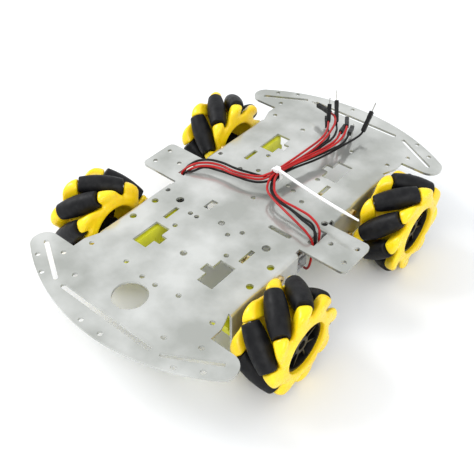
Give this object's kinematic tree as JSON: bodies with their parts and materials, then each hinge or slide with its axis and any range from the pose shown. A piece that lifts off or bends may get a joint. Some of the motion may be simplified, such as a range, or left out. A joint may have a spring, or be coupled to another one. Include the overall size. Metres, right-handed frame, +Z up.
{
  "type": "four wheel robot chassis",
  "caption": "Flat bent-metal robot chassis with round bumper ends, geared motors under the plate, wheels with angled rollers, and wires tied above the deck.",
  "frame": {"origin": "on the ground under the middle of the plate", "axes": "+X to the chassis's right side along the axles, +Y to the far end, where the loose plugs are, +Z up"},
  "size_m": [0.1616, 0.2444, 0.0657],
  "materials": {
    "sheet_aluminium": "satin",
    "gearbox_yellow": "satin",
    "motor_steel": "satin",
    "cap_nylon": "matte",
    "strap_clear": "gloss",
    "screw_brass": "satin",
    "tie_white": "satin",
    "housing_black": "satin",
    "pin_steel": "satin",
    "wire_red": "satin",
    "wire_black": "satin",
    "wheel_yellow": "satin",
    "core_black": "satin",
    "shaft_nylon": "satin",
    "roller_rubber": "matte"
  },
  "bodies": {
    "chassis": {"chassis_plate": "sheet_aluminium", "gearbox_housings": "gearbox_yellow", "motor_cans": "motor_steel", "motor_end_caps": "cap_nylon", "motor_straps": "strap_clear", "motor_screws": "screw_brass", "motor_nuts": "screw_brass", "cable_tie": "tie_white", "connector_housings": "housing_black", "connector_pins": "pin_steel", "red_wires": "wire_red", "black_wires": "wire_black"},
    "wheel_near_left": {"wheel_hub_near_left": "wheel_yellow", "hub_core_near_left": "core_black", "roller_pins_near_left": "pin_steel", "output_shaft_near_left": "shaft_nylon"},
    "wheel_near_right": {"wheel_hub_near_right": "wheel_yellow", "hub_core_near_right": "core_black", "roller_pins_near_right": "pin_steel", "output_shaft_near_right": "shaft_nylon"},
    "wheel_far_left": {"wheel_hub_far_left": "wheel_yellow", "hub_core_far_left": "core_black", "roller_pins_far_left": "pin_steel", "output_shaft_far_left": "shaft_nylon"},
    "wheel_far_right": {"wheel_hub_far_right": "wheel_yellow", "hub_core_far_right": "core_black", "roller_pins_far_right": "pin_steel", "output_shaft_far_right": "shaft_nylon"},
    "roller_near_left_1": {"roller_near_left_1": "roller_rubber"},
    "roller_near_left_2": {"roller_near_left_2": "roller_rubber"},
    "roller_near_left_3": {"roller_near_left_3": "roller_rubber"},
    "roller_near_left_4": {"roller_near_left_4": "roller_rubber"},
    "roller_near_left_5": {"roller_near_left_5": "roller_rubber"},
    "roller_near_left_6": {"roller_near_left_6": "roller_rubber"},
    "roller_near_left_7": {"roller_near_left_7": "roller_rubber"},
    "roller_near_left_8": {"roller_near_left_8": "roller_rubber"},
    "roller_near_right_1": {"roller_near_right_1": "roller_rubber"},
    "roller_near_right_2": {"roller_near_right_2": "roller_rubber"},
    "roller_near_right_3": {"roller_near_right_3": "roller_rubber"},
    "roller_near_right_4": {"roller_near_right_4": "roller_rubber"},
    "roller_near_right_5": {"roller_near_right_5": "roller_rubber"},
    "roller_near_right_6": {"roller_near_right_6": "roller_rubber"},
    "roller_near_right_7": {"roller_near_right_7": "roller_rubber"},
    "roller_near_right_8": {"roller_near_right_8": "roller_rubber"},
    "roller_far_left_1": {"roller_far_left_1": "roller_rubber"},
    "roller_far_left_2": {"roller_far_left_2": "roller_rubber"},
    "roller_far_left_3": {"roller_far_left_3": "roller_rubber"},
    "roller_far_left_4": {"roller_far_left_4": "roller_rubber"},
    "roller_far_left_5": {"roller_far_left_5": "roller_rubber"},
    "roller_far_left_6": {"roller_far_left_6": "roller_rubber"},
    "roller_far_left_7": {"roller_far_left_7": "roller_rubber"},
    "roller_far_left_8": {"roller_far_left_8": "roller_rubber"},
    "roller_far_right_1": {"roller_far_right_1": "roller_rubber"},
    "roller_far_right_2": {"roller_far_right_2": "roller_rubber"},
    "roller_far_right_3": {"roller_far_right_3": "roller_rubber"},
    "roller_far_right_4": {"roller_far_right_4": "roller_rubber"},
    "roller_far_right_5": {"roller_far_right_5": "roller_rubber"},
    "roller_far_right_6": {"roller_far_right_6": "roller_rubber"},
    "roller_far_right_7": {"roller_far_right_7": "roller_rubber"},
    "roller_far_right_8": {"roller_far_right_8": "roller_rubber"}
  },
  "joints": [
    {"name": "wheel_turn_near_left", "type": "hinge", "parent": "chassis", "child": "wheel_near_left", "pos_m": [-0.067, -0.0545, 0.0286], "axis": [1, 0, 0], "continuous": true},
    {"name": "wheel_turn_near_right", "type": "hinge", "parent": "chassis", "child": "wheel_near_right", "pos_m": [0.067, -0.0545, 0.0286], "axis": [1, 0, 0], "continuous": true},
    {"name": "wheel_turn_far_left", "type": "hinge", "parent": "chassis", "child": "wheel_far_left", "pos_m": [-0.067, 0.0545, 0.0286], "axis": [1, 0, 0], "continuous": true},
    {"name": "wheel_turn_far_right", "type": "hinge", "parent": "chassis", "child": "wheel_far_right", "pos_m": [0.067, 0.0545, 0.0286], "axis": [1, 0, 0], "continuous": true},
    {"name": "spin_roller_near_left_1", "type": "hinge", "parent": "wheel_near_left", "child": "roller_near_left_1", "pos_m": [-0.067, -0.05058, 0.05086], "axis": [-0.7071, -0.6964, 0.1228], "continuous": true},
    {"name": "spin_roller_near_left_2", "type": "hinge", "parent": "wheel_near_left", "child": "roller_near_left_2", "pos_m": [-0.067, -0.03599, 0.04156], "axis": [-0.7071, -0.4056, 0.5792], "continuous": true},
    {"name": "spin_roller_near_left_3", "type": "hinge", "parent": "wheel_near_left", "child": "roller_near_left_3", "pos_m": [-0.067, -0.03224, 0.02468], "axis": [-0.7071, 0.1228, 0.6964], "continuous": true},
    {"name": "spin_roller_near_left_4", "type": "hinge", "parent": "wheel_near_left", "child": "roller_near_left_4", "pos_m": [-0.067, -0.04154, 0.01009], "axis": [-0.7071, 0.5792, 0.4056], "continuous": true},
    {"name": "spin_roller_near_left_5", "type": "hinge", "parent": "wheel_near_left", "child": "roller_near_left_5", "pos_m": [-0.067, -0.05842, 0.00634], "axis": [-0.7071, 0.6964, -0.1228], "continuous": true},
    {"name": "spin_roller_near_left_6", "type": "hinge", "parent": "wheel_near_left", "child": "roller_near_left_6", "pos_m": [-0.067, -0.07301, 0.01564], "axis": [-0.7071, 0.4056, -0.5792], "continuous": true},
    {"name": "spin_roller_near_left_7", "type": "hinge", "parent": "wheel_near_left", "child": "roller_near_left_7", "pos_m": [-0.067, -0.07676, 0.03252], "axis": [-0.7071, -0.1228, -0.6964], "continuous": true},
    {"name": "spin_roller_near_left_8", "type": "hinge", "parent": "wheel_near_left", "child": "roller_near_left_8", "pos_m": [-0.067, -0.06746, 0.04711], "axis": [-0.7071, -0.5792, -0.4056], "continuous": true},
    {"name": "spin_roller_near_right_1", "type": "hinge", "parent": "wheel_near_right", "child": "roller_near_right_1", "pos_m": [0.067, -0.04459, 0.04891], "axis": [0.7071, -0.6355, 0.31], "continuous": true},
    {"name": "spin_roller_near_right_2", "type": "hinge", "parent": "wheel_near_right", "child": "roller_near_right_2", "pos_m": [0.067, -0.03313, 0.03596], "axis": [0.7071, -0.2302, 0.6686], "continuous": true},
    {"name": "spin_roller_near_right_3", "type": "hinge", "parent": "wheel_near_right", "child": "roller_near_right_3", "pos_m": [0.067, -0.03419, 0.01869], "axis": [0.7071, 0.31, 0.6355], "continuous": true},
    {"name": "spin_roller_near_right_4", "type": "hinge", "parent": "wheel_near_right", "child": "roller_near_right_4", "pos_m": [0.067, -0.04714, 0.00723], "axis": [0.7071, 0.6686, 0.2302], "continuous": true},
    {"name": "spin_roller_near_right_5", "type": "hinge", "parent": "wheel_near_right", "child": "roller_near_right_5", "pos_m": [0.067, -0.06441, 0.00829], "axis": [0.7071, 0.6355, -0.31], "continuous": true},
    {"name": "spin_roller_near_right_6", "type": "hinge", "parent": "wheel_near_right", "child": "roller_near_right_6", "pos_m": [0.067, -0.07587, 0.02124], "axis": [0.7071, 0.2302, -0.6686], "continuous": true},
    {"name": "spin_roller_near_right_7", "type": "hinge", "parent": "wheel_near_right", "child": "roller_near_right_7", "pos_m": [0.067, -0.07481, 0.03851], "axis": [0.7071, -0.31, -0.6355], "continuous": true},
    {"name": "spin_roller_near_right_8", "type": "hinge", "parent": "wheel_near_right", "child": "roller_near_right_8", "pos_m": [0.067, -0.06186, 0.04997], "axis": [0.7071, -0.6686, -0.2302], "continuous": true},
    {"name": "spin_roller_far_left_1", "type": "hinge", "parent": "wheel_far_left", "child": "roller_far_left_1", "pos_m": [-0.067, 0.04903, 0.05053], "axis": [-0.7071, 0.6861, 0.1711], "continuous": true},
    {"name": "spin_roller_far_left_2", "type": "hinge", "parent": "wheel_far_left", "child": "roller_far_left_2", "pos_m": [-0.067, 0.03513, 0.04024], "axis": [-0.7071, 0.3642, 0.6061], "continuous": true},
    {"name": "spin_roller_far_left_3", "type": "hinge", "parent": "wheel_far_left", "child": "roller_far_left_3", "pos_m": [-0.067, 0.03257, 0.02313], "axis": [-0.7071, -0.1711, 0.6861], "continuous": true},
    {"name": "spin_roller_far_left_4", "type": "hinge", "parent": "wheel_far_left", "child": "roller_far_left_4", "pos_m": [-0.067, 0.04286, 0.00923], "axis": [-0.7071, -0.6061, 0.3642], "continuous": true},
    {"name": "spin_roller_far_left_5", "type": "hinge", "parent": "wheel_far_left", "child": "roller_far_left_5", "pos_m": [-0.067, 0.05997, 0.00667], "axis": [-0.7071, -0.6861, -0.1711], "continuous": true},
    {"name": "spin_roller_far_left_6", "type": "hinge", "parent": "wheel_far_left", "child": "roller_far_left_6", "pos_m": [-0.067, 0.07387, 0.01696], "axis": [-0.7071, -0.3642, -0.6061], "continuous": true},
    {"name": "spin_roller_far_left_7", "type": "hinge", "parent": "wheel_far_left", "child": "roller_far_left_7", "pos_m": [-0.067, 0.07643, 0.03407], "axis": [-0.7071, 0.1711, -0.6861], "continuous": true},
    {"name": "spin_roller_far_left_8", "type": "hinge", "parent": "wheel_far_left", "child": "roller_far_left_8", "pos_m": [-0.067, 0.06614, 0.04797], "axis": [-0.7071, 0.6061, -0.3642], "continuous": true},
    {"name": "spin_roller_far_right_1", "type": "hinge", "parent": "wheel_far_right", "child": "roller_far_right_1", "pos_m": [0.067, 0.04714, 0.04997], "axis": [0.7071, 0.6686, 0.2302], "continuous": true},
    {"name": "spin_roller_far_right_2", "type": "hinge", "parent": "wheel_far_right", "child": "roller_far_right_2", "pos_m": [0.067, 0.03419, 0.03851], "axis": [0.7071, 0.31, 0.6355], "continuous": true},
    {"name": "spin_roller_far_right_3", "type": "hinge", "parent": "wheel_far_right", "child": "roller_far_right_3", "pos_m": [0.067, 0.03313, 0.02124], "axis": [0.7071, -0.2302, 0.6686], "continuous": true},
    {"name": "spin_roller_far_right_4", "type": "hinge", "parent": "wheel_far_right", "child": "roller_far_right_4", "pos_m": [0.067, 0.04459, 0.00829], "axis": [0.7071, -0.6355, 0.31], "continuous": true},
    {"name": "spin_roller_far_right_5", "type": "hinge", "parent": "wheel_far_right", "child": "roller_far_right_5", "pos_m": [0.067, 0.06186, 0.00723], "axis": [0.7071, -0.6686, -0.2302], "continuous": true},
    {"name": "spin_roller_far_right_6", "type": "hinge", "parent": "wheel_far_right", "child": "roller_far_right_6", "pos_m": [0.067, 0.07481, 0.01869], "axis": [0.7071, -0.31, -0.6355], "continuous": true},
    {"name": "spin_roller_far_right_7", "type": "hinge", "parent": "wheel_far_right", "child": "roller_far_right_7", "pos_m": [0.067, 0.07587, 0.03596], "axis": [0.7071, 0.2302, -0.6686], "continuous": true},
    {"name": "spin_roller_far_right_8", "type": "hinge", "parent": "wheel_far_right", "child": "roller_far_right_8", "pos_m": [0.067, 0.06441, 0.04891], "axis": [0.7071, 0.6355, -0.31], "continuous": true}
  ]
}
